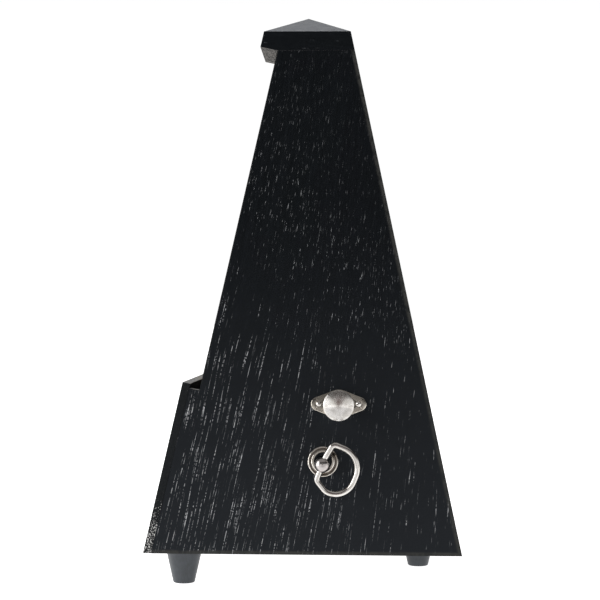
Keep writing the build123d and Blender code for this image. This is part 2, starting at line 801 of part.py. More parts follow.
def winding_arbor():
    outer = PLATE_X + PLATE_T / 2
    shaft = x_rod(WIND_ARBOR_R, -outer, STEM_X0, *WIND)
    shaft += x_tube(WIND_ARBOR_R + 0.8, WIND_ARBOR_R / 2, BARREL_X0 + 1.5, BARREL_X1 - 1.5, *WIND)
    return shaft + x_rod(SPIGOT_R, STEM_X0, STEM_X0 + SPIGOT_LEN, *WIND)


def ratchet_wheel():
    pitch = 2 * pi / RATCHET_TEETH
    points = []
    for i in range(RATCHET_TEETH):
        for radius, share in ((RATCHET_R, 0.0), (RATCHET_R - 1.3, 0.12)):
            angle = pitch * (i + share)
            points.append((radius * cos(angle), radius * sin(angle)))
    wheel = x_slab(polygon(points), RATCHET_X, RATCHET_X + RATCHET_T, *WIND)
    return wheel - x_rod(WIND_ARBOR_R, RATCHET_X - 1, RATCHET_X + RATCHET_T + 1, *WIND)


CLICK = (WIND[0] + 12.0, WIND[1] + 8.0)
CLICK_TIP = (3.0, 8.55)  # from the winding arbor


def click():
    hub = x_rod(2.0, RATCHET_X, RATCHET_X + RATCHET_T, *CLICK)
    y, z = CLICK[0] - WIND[0], CLICK[1] - WIND[1]
    tip_y, tip_z = CLICK_TIP
    arm = polygon([(tip_y, tip_z), (y, z - 1.7), (y, z + 1.9), (tip_y + 1.0, tip_z + 1.3)])
    pawl = hub + x_slab(arm, RATCHET_X, RATCHET_X + RATCHET_T, *WIND)
    return pawl - x_rod(1.0 + RUN_GAP, RATCHET_X - 1, RATCHET_X + RATCHET_T + 1, *CLICK)


def click_stud():
    outer = PLATE_X + PLATE_T / 2
    stud = x_rod(1.0, outer, RATCHET_X + RATCHET_T + 0.3, *CLICK)
    stud += x_rod(1.7, outer, RATCHET_X - 0.2, *CLICK)
    return stud + x_rod(1.7, RATCHET_X + RATCHET_T + 0.3, RATCHET_X + RATCHET_T + 1.1, *CLICK)


def click_spring():
    """Leaf from a post on the plate to just above the pawl's hub."""
    outer = PLATE_X + PLATE_T / 2
    post = (CLICK[0] + 8.5, CLICK[1] + 3.5)
    tip = (CLICK[0] - 0.5, CLICK[1] + 2.5)
    middle = ((post[0] + tip[0]) / 2, (post[1] + tip[1]) / 2 + 0.8)
    body = x_rod(1.3, outer, RATCHET_X + RATCHET_T, *post)
    leaf = trace([ThreePointArc(post, middle, tip)], line_width=0.4)
    return body + x_slab(leaf, RATCHET_X, RATCHET_X + RATCHET_T)


def key_stem():
    stem = x_rod(STEM_R, STEM_X0, BALL_X, *WIND)
    stem -= x_rod(SPIGOT_R, STEM_X0 - 1, STEM_X0 + SPIGOT_LEN, *WIND)
    stem += x_rod(STEM_R + 0.7, BALL_X - BALL_R - 1.6, BALL_X - BALL_R - 0.4, *WIND)
    return stem - Pos(BALL_X, *WIND) * Sphere(BALL_R)


RING_FRAME = Pos(BALL_X, *WIND) * Rot(-RING_LEAN, 0, 0)


def key_ball():
    bore = RING_FRAME * Cylinder(RING_WIRE_R + RUN_GAP, BALL_R * 3)
    return Pos(BALL_X, *WIND) * Sphere(BALL_R) - bore


def key_ring():
    """Bent wire loop with both ends in the ball; its hinge axis is the local z."""
    corners = [(0, across, along) for across, along in RING_CORNERS]
    points = [(0, 0, RING_END), *corners, (0, 0, -RING_END)]
    path = FilletPolyline(*points, radius=list(RING_BENDS))
    section = Plane(origin=points[0], z_dir=(0, 0, 1)) * Circle(RING_WIRE_R)
    return RING_FRAME * sweep(section, path=path)


def key_rosette():
    """Flanged collar round the stem, with an open well in the middle."""
    seat = side_face(*WIND).location
    flange = seat * Pos(0, 0, ROSETTE_T / 2) * Cylinder(ROSETTE_R, ROSETTE_T)
    flange = fillet(flange.edges().sort_by(Axis.X)[-1], 0.35)
    rim = seat * Pos(0, 0, ROSETTE_RIM_H / 2) * Cylinder(ROSETTE_RIM_R, ROSETTE_RIM_H)
    rim = fillet(rim.edges().sort_by(Axis.X)[-1], 0.4)
    well = seat * Pos(0, 0, ROSETTE_RIM_H / 2) * Cylinder(ROSETTE_BORE_R, ROSETTE_RIM_H * 2)
    return flange + rim - well


def write_key():
    write("winding_arbor", winding_arbor())
    write("ratchet_wheel", ratchet_wheel())
    write("click", click())
    write("click_stud", click_stud())
    write("click_spring", click_spring())
    write("key_stem", key_stem())
    write("key_ball", key_ball())
    write("key_ring", key_ring())
    write("key_rosette", key_rosette())


# ---- bell pull and bell work ----
def escutcheon():
    tip_x = PLATE_LEN / 2 - PLATE_END_R
    with BuildSketch() as outline:
        Circle(PLATE_WAIST / 2)
        with Locations((tip_x, 0), (-tip_x, 0)):
            Circle(PLATE_END_R)
        make_hull()
    seat = side_face(*PULL).location
    body = seat * extrude(outline.sketch, amount=ESCUTCHEON_T)
    body -= x_rod(PULL_ROD_R + THROUGH_GAP, 0, BASE_W, *PULL)
    for side in (-1, 1):
        body -= nail_shank(side)
    return body


def nail_shank(side):
    seat = side_face(*PULL).location
    length = SIDE_T - 1
    return seat * Pos(side * NAIL_PITCH / 2, 0, ESCUTCHEON_T - length / 2) * Cylinder(0.5, length)


def nail(side):
    dome = Sphere(NAIL_R * 1.25) & Pos(0, 0, NAIL_R * 1.25) * Box(9, 9, NAIL_R * 1.1)
    seat = side_face(*PULL).location
    top = dome.bounding_box().min.Z
    head = seat * Pos(side * NAIL_PITCH / 2, 0, ESCUTCHEON_T - top) * dome
    return head + nail_shank(side)


def pull_knob():
    dome_r = (KNOB_R**2 + KNOB_RISE**2) / (2 * KNOB_RISE)
    sweep_angle = degrees(asin(KNOB_R / dome_r))
    rim_x = KNOB_LEN - KNOB_RISE
    rim = [(rim_x - KNOB_RIM_T, KNOB_R), (rim_x, KNOB_R)]
    back = Polyline((KNOB_LEN, 0), (0, 0), (0, KNOB_NECK_R), *rim)
    dome = CenterArc((KNOB_LEN - dome_r, 0), dome_r, 0, sweep_angle)
    knob = revolve(make_face(back + dome), Axis.X, 360)
    knob = Pos(KNOB_X0, *PULL) * knob
    return knob - x_rod(PULL_ROD_R * 0.8, KNOB_X0 - 1, KNOB_X0 + 3.0, *PULL)


def pull_rod():
    outer = PLATE_X + PLATE_T / 2
    rod = x_rod(PULL_ROD_R, -outer - PULL_TRAVEL - 1, KNOB_X0, *PULL)
    return rod + x_rod(PULL_ROD_R * 0.8, KNOB_X0, KNOB_X0 + 3.0, *PULL)


def selector_fork():
    """Arm on the pull rod whose forked end rides between the finger's two flanges."""
    x0 = FINGER_X - 3.0
    hub = x_tube(PULL_ROD_R + 1.4, PULL_ROD_R, x0 - 1.2, x0 + 2.0, *PULL)
    reach = hypot(HAMMER[0] - PULL[0], HAMMER[1] - PULL[1])
    turn = direction(PULL, HAMMER)
    arm = polygon([(1.8, -1.5), (1.8, 1.5), (reach + 2.2, 3.6), (reach + 2.2, -3.6)])
    arm_solid = x_slab(Rot(0, 0, degrees(turn)) * arm, x0, x0 + 0.8, *PULL)
    slot = polygon([(reach - 2.1, -2.1), (reach - 2.1, 2.1), (reach + 9, 2.1), (reach + 9, -2.1)])
    slot_solid = x_slab(Rot(0, 0, degrees(turn)) * slot, x0 - 1, x0 + 2, *PULL)
    return hub + arm_solid - slot_solid


def finger():
    """Sliding follower on the hammer arbor, with a flanged sleeve for the fork."""
    bore = ARBOR_R + RUN_GAP
    x0 = FINGER_X - 3.0
    sleeve = x_tube(1.95, bore, x0 - 1.2, FINGER_X + FINGER_T, *HAMMER)
    for edge in (x0 - 1.2, x0 + 1.0):
        sleeve += x_tube(2.9, bore, edge, edge + 1.0, *HAMMER)
    gap = hypot(DRUM[0] - HAMMER[0], DRUM[1] - HAMMER[1])
    length = gap - DRUM_R - DRUM_PIN - 0.35
    turn = direction(HAMMER, DRUM)
    arm = polygon([(1.6, -1.3), (1.6, 1.3), (length, 0.4), (length, -0.4)])
    arm_solid = x_slab(Rot(0, 0, degrees(turn)) * arm, FINGER_X, FINGER_X + FINGER_T, *HAMMER)
    return sleeve + arm_solid


def strike_place():
    """Middle of the hammer head, where its swing runs straight at the bell's rim."""
    reach = BELL_R + HEAD_R + HEAD_GAP
    span = hypot(BELL[0] - HAMMER[0], BELL[1] - HAMMER[1])
    base = direction(HAMMER, BELL)
    turn = base - (pi - atan2((span**2 - reach**2) ** 0.5, reach))
    return (BELL[0] + reach * cos(turn), BELL[1] + reach * sin(turn))


def hammer_arbor():
    outer = PLATE_X + PLATE_T / 2
    return x_rod(ARBOR_R, HAMMER_X - 1.5, outer, *HAMMER)


def hammer():
    head = strike_place()
    length = hypot(head[0] - HAMMER[0], head[1] - HAMMER[1])
    turn = Rot(0, 0, degrees(direction(HAMMER, head)))
    arm = polygon([(2.0, -0.9), (2.0, 0.9), (length, 0.6), (length, -0.6)])
    body = x_slab(turn * arm, HAMMER_X - 0.5, HAMMER_X + 0.5, *HAMMER)
    body += x_rod(2.6, HAMMER_X - 1.5, HAMMER_X + 1.5, *HAMMER)
    body += x_rod(HEAD_R, HAMMER_X - 1.5, HAMMER_X + 1.5, *head)
    return body - x_rod(ARBOR_R, HAMMER_X - 3, HAMMER_X + 3, *HAMMER)


def bell():
    """Shallow cup open towards the plate, with a round shoulder."""
    solid_cup = x_rod(BELL_R, BELL_X0 - BELL_DEPTH, BELL_X0, *BELL)
    far = solid_cup.edges().filter_by(GeomType.CIRCLE).sort_by(Axis.X)[0]
    solid_cup = fillet(far, 5.0)
    inner_r = BELL_R - BELL_WALL
    inside = x_rod(inner_r, BELL_X0 - BELL_DEPTH + BELL_WALL, BELL_X0 + 1, *BELL)
    near = inside.edges().filter_by(GeomType.CIRCLE).sort_by(Axis.X)[0]
    inside = fillet(near, 5.0 - BELL_WALL)
    cup = solid_cup - inside
    return cup - x_rod(1.2, BELL_X0 - BELL_DEPTH - 1, BELL_X0, *BELL)


def bell_post():
    outer = PLATE_X + PLATE_T / 2
    inner_face = BELL_X0 - BELL_DEPTH + BELL_WALL
    return x_tube(2.4, 1.2, inner_face, -outer, *BELL)


def bell_screw():
    outer = PLATE_X + PLATE_T / 2
    top = BELL_X0 - BELL_DEPTH
    screw = x_rod(1.2, top, -outer, *BELL)
    head = x_rod(2.6, top - 1.4, top, *BELL)
    slot = Pos(top - 1.4, *BELL) * Box(1.0, 0.7, 8)
    return screw + head - slot


def write_bell_work():
    write("escutcheon", escutcheon())
    write("escutcheon_nails", Compound([nail(side) for side in (-1, 1)]))
    write("pull_knob", pull_knob())
    write("pull_rod", pull_rod())
    write("selector_fork", selector_fork())
    write("accent_finger", finger())
    write("hammer_arbor", hammer_arbor())
    write("hammer", hammer())
    write("bell", bell())
    write("bell_post", bell_post())
    write("bell_screw", bell_screw())


write_case()
write_scale()
write_pendulum()
write_frame()
write_train()
write_key()
write_bell_work()
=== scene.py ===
import math

import bmesh
import bpy
from mathutils import Matrix, Vector

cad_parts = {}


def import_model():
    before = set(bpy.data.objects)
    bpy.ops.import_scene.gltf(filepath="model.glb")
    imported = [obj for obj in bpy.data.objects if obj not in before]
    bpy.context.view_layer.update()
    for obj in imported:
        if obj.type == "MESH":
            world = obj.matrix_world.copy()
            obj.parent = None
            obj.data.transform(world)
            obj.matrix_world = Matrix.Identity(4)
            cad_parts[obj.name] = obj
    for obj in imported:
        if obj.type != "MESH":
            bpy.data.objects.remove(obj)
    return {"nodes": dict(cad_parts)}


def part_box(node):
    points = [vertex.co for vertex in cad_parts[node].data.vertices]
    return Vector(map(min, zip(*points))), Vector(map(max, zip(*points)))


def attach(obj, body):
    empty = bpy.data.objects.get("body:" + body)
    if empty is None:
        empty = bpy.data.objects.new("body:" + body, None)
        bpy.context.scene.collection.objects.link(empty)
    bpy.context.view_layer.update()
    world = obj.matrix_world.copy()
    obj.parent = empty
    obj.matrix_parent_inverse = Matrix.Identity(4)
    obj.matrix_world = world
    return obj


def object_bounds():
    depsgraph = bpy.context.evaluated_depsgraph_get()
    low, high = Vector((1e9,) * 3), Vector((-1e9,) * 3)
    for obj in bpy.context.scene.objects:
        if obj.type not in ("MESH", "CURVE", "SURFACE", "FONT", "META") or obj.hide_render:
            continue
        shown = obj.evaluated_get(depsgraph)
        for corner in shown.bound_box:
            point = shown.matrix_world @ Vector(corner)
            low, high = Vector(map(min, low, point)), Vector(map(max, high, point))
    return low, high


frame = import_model()
CAD_BOX = [list(corner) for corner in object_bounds()]
NODES = frame["nodes"]
MM = 0.001

# ---- places read from the CAD ----
cap_low, cap_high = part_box("cap_block")
side_low, side_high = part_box("side_panel_right")
AXIS_X = (cap_low.x + cap_high.x) / 2  # middle plane of the case
SIDE_LEVEL = 5.1065 * MM  # thickness of the leaning side board, measured level
SLOPE = (side_high.x - side_low.x - SIDE_LEVEL) / (side_high.z - side_low.z)
TILT = math.atan(SLOPE)
C, S = math.cos(TILT), math.sin(TILT)
CASE_BOTTOM = side_low.z
HALF_BASE = side_high.x - AXIS_X
FRONT_SEAT = 7.25 * MM - HALF_BASE  # where the front board meets the side board, as y at the bottom
LEDGE = 63 * MM  # top of the front board above the case's bottom


def centre(node):
    low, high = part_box(node)
    return (low + high) / 2


def add(name, data):
    """New object in the scene."""
    made = bpy.data.objects.new(name, data)
    bpy.context.scene.collection.objects.link(made)
    return made


# ---- shader building ----
MIX_FIRST, MIX_SECOND, MIX_COLOUR = 6, 7, 2  # a Mix node's colour sockets: two in, one out


class Shader:
    """A material under construction; sockets and plain numbers are both fine as operands."""

    def __init__(self, name):
        self.material = bpy.data.materials.new(name)
        self.material.use_nodes = True
        self.tree = self.material.node_tree
        self.tree.nodes.clear()
        out = self.node("ShaderNodeOutputMaterial")
        self.surface = self.node("ShaderNodeBsdfPrincipled")
        self.link(self.surface.outputs["BSDF"], out.inputs["Surface"])
        self.place = self.node("ShaderNodeTexCoord").outputs["Object"]
        xyz = self.node("ShaderNodeSeparateXYZ")
        self.link(self.place, xyz.inputs[0])
        self.x, self.y, self.z = xyz.outputs

    def node(self, kind, **settings):
        made = self.tree.nodes.new(kind)
        for key, value in settings.items():
            setattr(made, key, value)
        return made

    def link(self, source, target):
        self.tree.links.new(source, target)

    def feed(self, target, value):
        if isinstance(value, bpy.types.NodeSocket):
            self.link(value, target)
        else:
            target.default_value = value

    def math(self, operation, *values, clamp=False):
        made = self.node("ShaderNodeMath", operation=operation, use_clamp=clamp)
        for target, value in zip(made.inputs, values):
            self.feed(target, value)
        return made.outputs[0]

    def vector(self, operation, *values):
        made = self.node("ShaderNodeVectorMath", operation=operation)
        for target, value in zip(made.inputs, values):
            self.feed(target, value)
        return made.outputs[0]

    def length(self, value):
        made = self.node("ShaderNodeVectorMath", operation="LENGTH")
        self.link(value, made.inputs[0])
        return made.outputs["Value"]

    def join(self, x, y, z):
        made = self.node("ShaderNodeCombineXYZ")
        for target, value in zip(made.inputs, (x, y, z)):
            self.feed(target, value)
        return made.outputs[0]

    def scaled(self, x, y, z, sizes):
        """Texture place where one unit is sizes long on each axis, in metres."""
        parts = [self.math("DIVIDE", value, size) for value, size in zip((x, y, z), sizes)]
        return self.join(*parts)

    def noise(self, place, detail=2.0, rough=0.5):
        made = self.node("ShaderNodeTexNoise")
        self.link(place, made.inputs["Vector"])
        made.inputs["Scale"].default_value = 1.0
        made.inputs["Detail"].default_value = detail
        made.inputs["Roughness"].default_value = rough
        return made.outputs["Fac"]

    def cloud(self, sizes, detail=2.0, rough=0.5):
        """Noise whose patches are sizes long on x, y and z."""
        return self.noise(self.scaled(self.x, self.y, self.z, sizes), detail, rough)

    def ramp(self, value, low, high, to_low=0.0, to_high=1.0, smooth=True):
        made = self.node("ShaderNodeMapRange")
        made.interpolation_type = "SMOOTHSTEP" if smooth else "LINEAR"
        for target, source in zip(made.inputs, (value, low, high, to_low, to_high)):
            self.feed(target, source)
        return made.outputs[0]

    def mix(self, share, first, second):
        made = self.node("ShaderNodeMix", data_type="RGBA")
        self.feed(made.inputs["Factor"], share)
        self.feed(made.inputs[MIX_FIRST], first)
        self.feed(made.inputs[MIX_SECOND], second)
        return made.outputs[MIX_COLOUR]

    def bump(self, height, distance, strength=1.0):
        made = self.node("ShaderNodeBump")
        made.inputs["Strength"].default_value = strength
        made.inputs["Distance"].default_value = distance
        self.link(height, made.inputs["Height"])
        self.link(made.outputs[0], self.surface.inputs["Normal"])

    def set(self, **values):
        for key, value in values.items():
            self.feed(self.surface.inputs[key.replace("_", " ")], value)
        return self

    def facing(self, axis):
        """Share of a face's normal along x, y or z."""
        xyz = self.node("ShaderNodeSeparateXYZ")
        self.link(self.node("ShaderNodeNewGeometry").outputs["Normal"], xyz.inputs[0])
        return xyz.outputs["xyz".index(axis)]


def grey(value, red=1.0, blue=1.0):
    """Grey whose red and blue are scaled a little."""
    return (value * red, value, value * blue, 1.0)


# ---- black open-pored wood ----
COOL = (0.80, 0.92, 1.0, 1.0)
HALF_COOL = (0.88, 0.95, 1.0, 1.0)


def wood(name, along, across, depth, pores=0.0, slope_falls=False, shine=0.32, tint=COOL):
    """Stained black wood with pale open pores.

    along, across and depth pick the grain's own axes from the list below, and pores adds or takes
    away pores. Where slope_falls, the grain leans with the front edge and straightens to the rear.
    """
    m = Shader(name)
    from_axis = m.math("SUBTRACT", m.x, AXIS_X)
    side = m.math("ABSOLUTE", from_axis)
    height = m.math("SUBTRACT", m.z, CASE_BOTTOM)
    lean = m.math("MULTIPLY", m.z, SLOPE)
    axes = {
        "x": from_axis,
        "y": m.y,
        "z": m.z,
        "face_x": m.math("ADD", side, lean),
        "face_y": m.math("SUBTRACT", m.y, lean),
        "back_y": m.math("ADD", m.y, lean),
    }
    if slope_falls:
        upright = m.ramp(m.y, -0.02, 0.07, 1.0, 0.35)
        axes["grain_y"] = m.math("SUBTRACT", m.y, m.math("MULTIPLY", lean, upright))
    u, v, w = axes[along], axes[across], axes[depth]
    waver = m.noise(m.scaled(v, w, u, (0.020, 0.020, 0.070)), 1.0)
    v = m.math("ADD", v, m.math("MULTIPLY", m.math("SUBTRACT", waver, 0.5), 0.004))

    # long and short pores, what breaks them up, and what makes them denser here and there
    chains = m.noise(m.scaled(v, w, u, (0.00042, 0.0011, 0.0190)), 1.0)
    dashes = m.noise(m.scaled(v, w, u, (0.00040, 0.0011, 0.0048)), 1.0)
    broken = m.noise(m.scaled(v, w, u, (0.0009, 0.002, 0.00075)), 1.0)
    patch = m.noise(m.scaled(v, w, u, (0.014, 0.02, 0.030)))
    fine = m.noise(m.scaled(v, w, u, (0.00030, 0.0005, 0.0042)), 2.0, 0.6)
    line = m.noise(m.scaled(v, w, u, (0.0018, 0.004, 0.045)), 2.0, 0.6)

    # pores are long and dense low down and to the front and sparse at the top; their paleness
    # there, fading towards the top, is painted light
    low_front = m.math("ADD", m.ramp(height, 0.19, 0.01), m.ramp(m.y, 0.055, -0.045, 0.0, 0.55))
    share = m.ramp(low_front, 0.5, 1.35)
    rest = m.math("SUBTRACT", 1.0, share)
    streak = m.math("ADD", m.math("MULTIPLY", chains, share), m.math("MULTIPLY", dashes, rest))
    need = m.math("SUBTRACT", 0.640 - pores, m.math("MULTIPLY", low_front, 0.031))
    need = m.math("SUBTRACT", need, m.math("MULTIPLY", m.math("SUBTRACT", patch, 0.5), 0.02))
    need = m.math("SUBTRACT", need, m.math("MULTIPLY", m.math("SUBTRACT", line, 0.5), 0.05))
    pore = m.ramp(streak, need, m.math("ADD", need, 0.08))
    pore = m.math("MULTIPLY", pore, m.ramp(broken, 0.40, 0.54))
    dust = m.ramp(m.noise(m.scaled(v, w, u, (0.002, 0.003, 0.004))), 0.32, 0.70, 0.10, 1.0)
    # painted light: pores are made paler low down and to the front, where the light from the floor
    # and the left falls
    lit = m.math("MULTIPLY", dust, m.ramp(low_front, 0.1, 1.15, 0.08, 0.88))
    pale = m.math("MULTIPLY", pore, lit)
    stain_and_painted_light = m.mix(m.ramp(line, 0.30, 0.72), grey(0.0012, 0.75, 1.50), grey(0.0022, 0.80, 1.45))
    stain_and_painted_light = m.mix(m.ramp(fine, 0.60, 0.80), stain_and_painted_light, grey(0.006, 0.85, 1.25))
    # painted light: the stain turns paler over the lowest 14 cm, standing in for light thrown up by
    # the white floor
    stain_and_painted_light = m.mix(m.ramp(height, 0.14, 0.0), stain_and_painted_light, grey(0.012, 0.90, 1.20))
    colour = m.mix(pale, stain_and_painted_light, grey(0.60, 0.98, 1.03))
    rough = m.ramp(fine, 0.30, 0.75, 0.34, 0.48, smooth=False)
    rough = m.math("ADD", rough, m.math("MULTIPLY", pore, 0.25))
    m.set(Base_Color=colour, Roughness=rough)
    m.surface.inputs["Specular IOR Level"].default_value = shine
    m.surface.inputs["IOR"].default_value = 1.40
    m.surface.inputs["Specular Tint"].default_value = tint
    relief = m.math("ADD", m.math("MULTIPLY", fine, 0.35), m.math("MULTIPLY", line, 0.25))
    m.bump(m.math("SUBTRACT", relief, m.math("MULTIPLY", pore, 0.8)), 0.00006, 0.7)
    m.colour, m.rough, m.height = colour, rough, height
    return m


def side_wood():
    """Side boards, worn paler along the rear and bottom edges, with a painted glint along the front
    arris above the ledge.
    """
    m = wood("black_wood_side", "z", "grain_y", "face_x", slope_falls=True)
    lean = m.math("MULTIPLY", m.height, SLOPE)
    near_back = m.ramp(m.math("ADD", m.y, lean), HALF_BASE - 2.0 * MM, HALF_BASE - 0.9 * MM)
    near_bottom = m.ramp(m.height, 1.7 * MM, 0.8 * MM)
    wear = m.ramp(m.cloud((0.003, 0.003, 0.003), 3.0, 0.6), 0.3, 0.6, 0.35, 1.0)
    outer = m.ramp(m.math("ABSOLUTE", m.facing("x")), 0.5, 0.8)
    edge = m.math("MULTIPLY", m.math("MAXIMUM", near_back, near_bottom), wear)
    edge = m.math("MULTIPLY", edge, outer)
    # painted highlight: a thin pale line along the front arris above the ledge stands in for the
    # glint of light on that edge
    near_front = m.ramp(m.math("SUBTRACT", m.y, lean), FRONT_SEAT + 0.6 * MM, FRONT_SEAT + 0.2 * MM)
    above_ledge = m.ramp(m.height, LEDGE, LEDGE + 1 * MM, 0.0, 0.30)
    arris = m.math("MULTIPLY", near_front, above_ledge)
    colour = m.mix(m.math("MAXIMUM", edge, arris), m.colour, grey(0.036, 1.02, 0.92))
    return m.set(Base_Color=colour).material


def front_wood():
    """Front board: speckled sawn ends and a pale worn top edge."""
    m = wood("black_wood_front", "z", "x", "face_y", -0.02, shine=0.28, tint=HALF_COOL)
    end = m.ramp(m.math("ABSOLUTE", m.facing("x")), 0.55, 0.75)
    speck = m.cloud((0.0004, 0.0004, 0.0006), 2.0, 0.6)
    low = m.ramp(m.height, 0.030, 0.004, 0.0, 0.22)
    specks = m.ramp(speck, m.math("SUBTRACT", 0.74, low), m.math("SUBTRACT", 0.80, low))
    plain = m.mix(m.ramp(speck, 0.3, 0.7), grey(0.006, 0.88, 1.10), grey(0.013, 0.90, 1.10))
    sawn = m.mix(m.math("MULTIPLY", specks, 0.8), plain, grey(0.70, 1.0, 0.98))
    colour = m.mix(end, m.colour, sawn)
    top = m.ramp(m.facing("z"), 0.60, 0.80)
    dash = m.cloud((0.0011, 0.0004, 0.001), 2.0, 0.6)
    worn = m.mix(m.ramp(dash, 0.45, 0.58), grey(0.22, 1.0, 0.97), grey(0.035, 1.0, 0.95))
    return m.set(Base_Color=m.mix(top, colour, worn)).material


def cap_wood():
    """Cap block: bare speckled underside and a roof with a painted sheen."""
    m = wood("black_wood_cap", "y", "z", "x", -0.09, shine=0.36)
    under = m.ramp(m.math("MULTIPLY", m.facing("z"), -1.0), 0.15, 0.35)
    speck = m.cloud((0.0007, 0.0007, 0.0007), 3.0, 0.65)
    raw = m.mix(m.ramp(speck, 0.44, 0.58), grey(0.014, 1.05, 0.94), grey(0.20, 1.07, 0.93))
    colour = m.mix(under, m.colour, raw)
    # painted sheen: upward faces get a paler, bluish base colour standing in for the bright sky
    # reflected off the satin roof
    roof = m.ramp(m.facing("z"), 0.60, 0.80)
    dots = m.cloud((0.0005, 0.0005, 0.0005), 2.0, 0.6)
    roof_painted_sheen = m.mix(m.ramp(dots, 0.44, 0.62), grey(0.016, 0.70, 1.70), grey(0.042, 0.74, 1.60))
    m.set(Roughness=m.math("MAXIMUM", under, m.rough))
    return m.set(Base_Color=m.mix(roof, colour, roof_painted_sheen)).material


def foot_paint():
    m = Shader("foot_paint")
    cloud = m.cloud((0.004, 0.004, 0.002), 3.0)
    grain = m.cloud((0.0005, 0.0005, 0.004), 3.0, 0.6)
    both = m.math("ADD", m.math("MULTIPLY", cloud, 0.5), m.math("MULTIPLY", grain, 0.5))
    share = m.ramp(both, 0.35, 0.65)
    m.set(Base_Color=m.mix(share, grey(0.027, 0.83, 1.20), grey(0.041, 0.84, 1.20)))
    m.set(Roughness=m.ramp(grain, 0.3, 0.7, 0.30, 0.46))
    m.bump(both, 0.00005, 0.5)
    return m.material


def raw_wood(name, dark, light):
    m = Shader(name)
    grain = m.cloud((0.0006, 0.0006, 0.012), 3.0, 0.6)
    band = m.cloud((0.003, 0.004, 0.05))
    both = m.math("ADD", m.math("MULTIPLY", grain, 0.55), m.math("MULTIPLY", band, 0.45))
    m.set(Base_Color=m.mix(m.ramp(both, 0.35, 0.65), dark, light))
    m.set(Roughness=m.ramp(grain, 0.3, 0.7, 0.45, 0.65))
    m.bump(grain, 0.00008, 0.6)
    return m.material


# ---- metals ----
EVEN = (0.0002, 0.0002, 0.0002)  # scratches with no direction
GROOVE_FADE = 0.3 * MM


def metal(name, dark, light, rough, scratch=(0.0002, 0.004, 0.004), spread=0.06, bump=0.00001):
    """Bare or plated metal with fine scratches, sized by scratch, and slightly uneven polish."""
    m = Shader(name)
    lines = m.cloud(scratch, 3.0, 0.6)
    cloud = m.cloud((0.006, 0.006, 0.006), 3.0)
    both = m.math("ADD", m.math("MULTIPLY", lines, 0.5), m.math("MULTIPLY", cloud, 0.5))
    m.set(Base_Color=m.mix(m.ramp(both, 0.35, 0.65), dark, light))
    m.set(Roughness=m.ramp(both, 0.3, 0.7, rough, rough + spread))
    m.surface.inputs["Metallic"].default_value = 1.0
    m.bump(lines, bump, 0.5)
    return m.material


def turned(name, dark, light, rough, node, amount, groove=None):
    """Metal turned about an axis along x, so that it shines in wedges.

    groove is the inner and outer radius of a tarnished ring.
    """
    m = Shader(name)
    middle = centre(node)
    from_middle = m.vector("SUBTRACT", m.place, (middle.x, middle.y, middle.z))
    flat = m.vector("MULTIPLY", from_middle, (0.0, 1.0, 1.0))
    reach = m.length(flat)
    rings = m.noise(m.scaled(reach, m.x, 0.0, (0.00012, 0.004, 1.0)), 3.0, 0.6)
    cloud = m.cloud((0.003, 0.003, 0.003))
    colour = m.mix(m.ramp(cloud, 0.35, 0.65), dark, light)
    if groove:
        low, high = groove
        past_low = m.ramp(reach, low, low + GROOVE_FADE)
        before_high = m.ramp(reach, high, high - GROOVE_FADE)
        inside = m.math("MULTIPLY", past_low, before_high)
        colour = m.mix(m.math("MULTIPLY", inside, 0.85), colour, (0.055, 0.040, 0.028, 1.0))
    m.set(Base_Color=colour)
    m.set(Roughness=m.ramp(rings, 0.3, 0.7, rough, rough + 0.05))
    m.surface.inputs["Metallic"].default_value = 1.0
    m.surface.inputs["Anisotropic"].default_value = amount
    m.link(m.vector("NORMALIZE", flat), m.surface.inputs["Tangent"])
    m.bump(rings, 0.000002, 0.4)
    return m.material


NICKEL = ((0.57, 0.545, 0.51, 1.0), (0.76, 0.74, 0.71, 1.0))
WARM_NICKEL = ((0.46, 0.43, 0.37, 1.0), (0.66, 0.62, 0.55, 1.0))
BALL_NICKEL = ((0.40, 0.365, 0.355, 1.0), (0.54, 0.51, 0.50, 1.0))
COLLAR_NICKEL = ((0.62, 0.58, 0.52, 1.0), (0.80, 0.76, 0.70, 1.0))
BRASS = ((0.56, 0.38, 0.13, 1.0), (0.78, 0.58, 0.25, 1.0))
BELL = ((0.62, 0.58, 0.50, 1.0), (0.80, 0.77, 0.70, 1.0))
BLUED = ((0.030, 0.040, 0.12, 1.0), (0.055, 0.075, 0.20, 1.0))
STEEL = (grey(0.24), grey(0.36, 0.99, 1.02))
SCREW = (grey(0.34), grey(0.50))
LEAD = (grey(0.020), grey(0.045))
SILVER = (grey(0.42, 1.02, 0.93), grey(0.54, 1.02, 0.94))
PLAIN_WOOD = ((0.30, 0.19, 0.10, 1.0), (0.52, 0.37, 0.21, 1.0))
COLLAR_GROOVE = (4.35 * MM, 5.4 * MM)

# the material of each of the record's slots, and those of parts with a finish of their own
SLOTS = {
    "black_wood": side_wood(),
    "foot_paint": foot_paint(),
    "plain_wood": raw_wood("plain_wood", *PLAIN_WOOD),
    "board_wood": raw_wood("board_wood", grey(0.0035), grey(0.010)),
    "scale_silver": metal("scale_silver", *SILVER, 0.38, (0.004, 0.0002, 0.0002)),
    "nickel": metal("nickel", *NICKEL, 0.11, spread=0.05),
    "steel": metal("steel", *STEEL, 0.26),
    "blued_steel": metal("blued_steel", *BLUED, 0.20),
    "brass": metal("brass", *BRASS, 0.24, (0.004, 0.0002, 0.004)),
    "bob_lead": metal("bob_lead", *LEAD, 0.40),
    "bell_metal": metal("bell_metal", *BELL, 0.12),
    "screw_steel": metal("screw_steel", *SCREW, 0.26, EVEN),
}
back_wood = wood("black_wood_back", "z", "x", "back_y", -0.02, shine=0.30, tint=HALF_COOL)
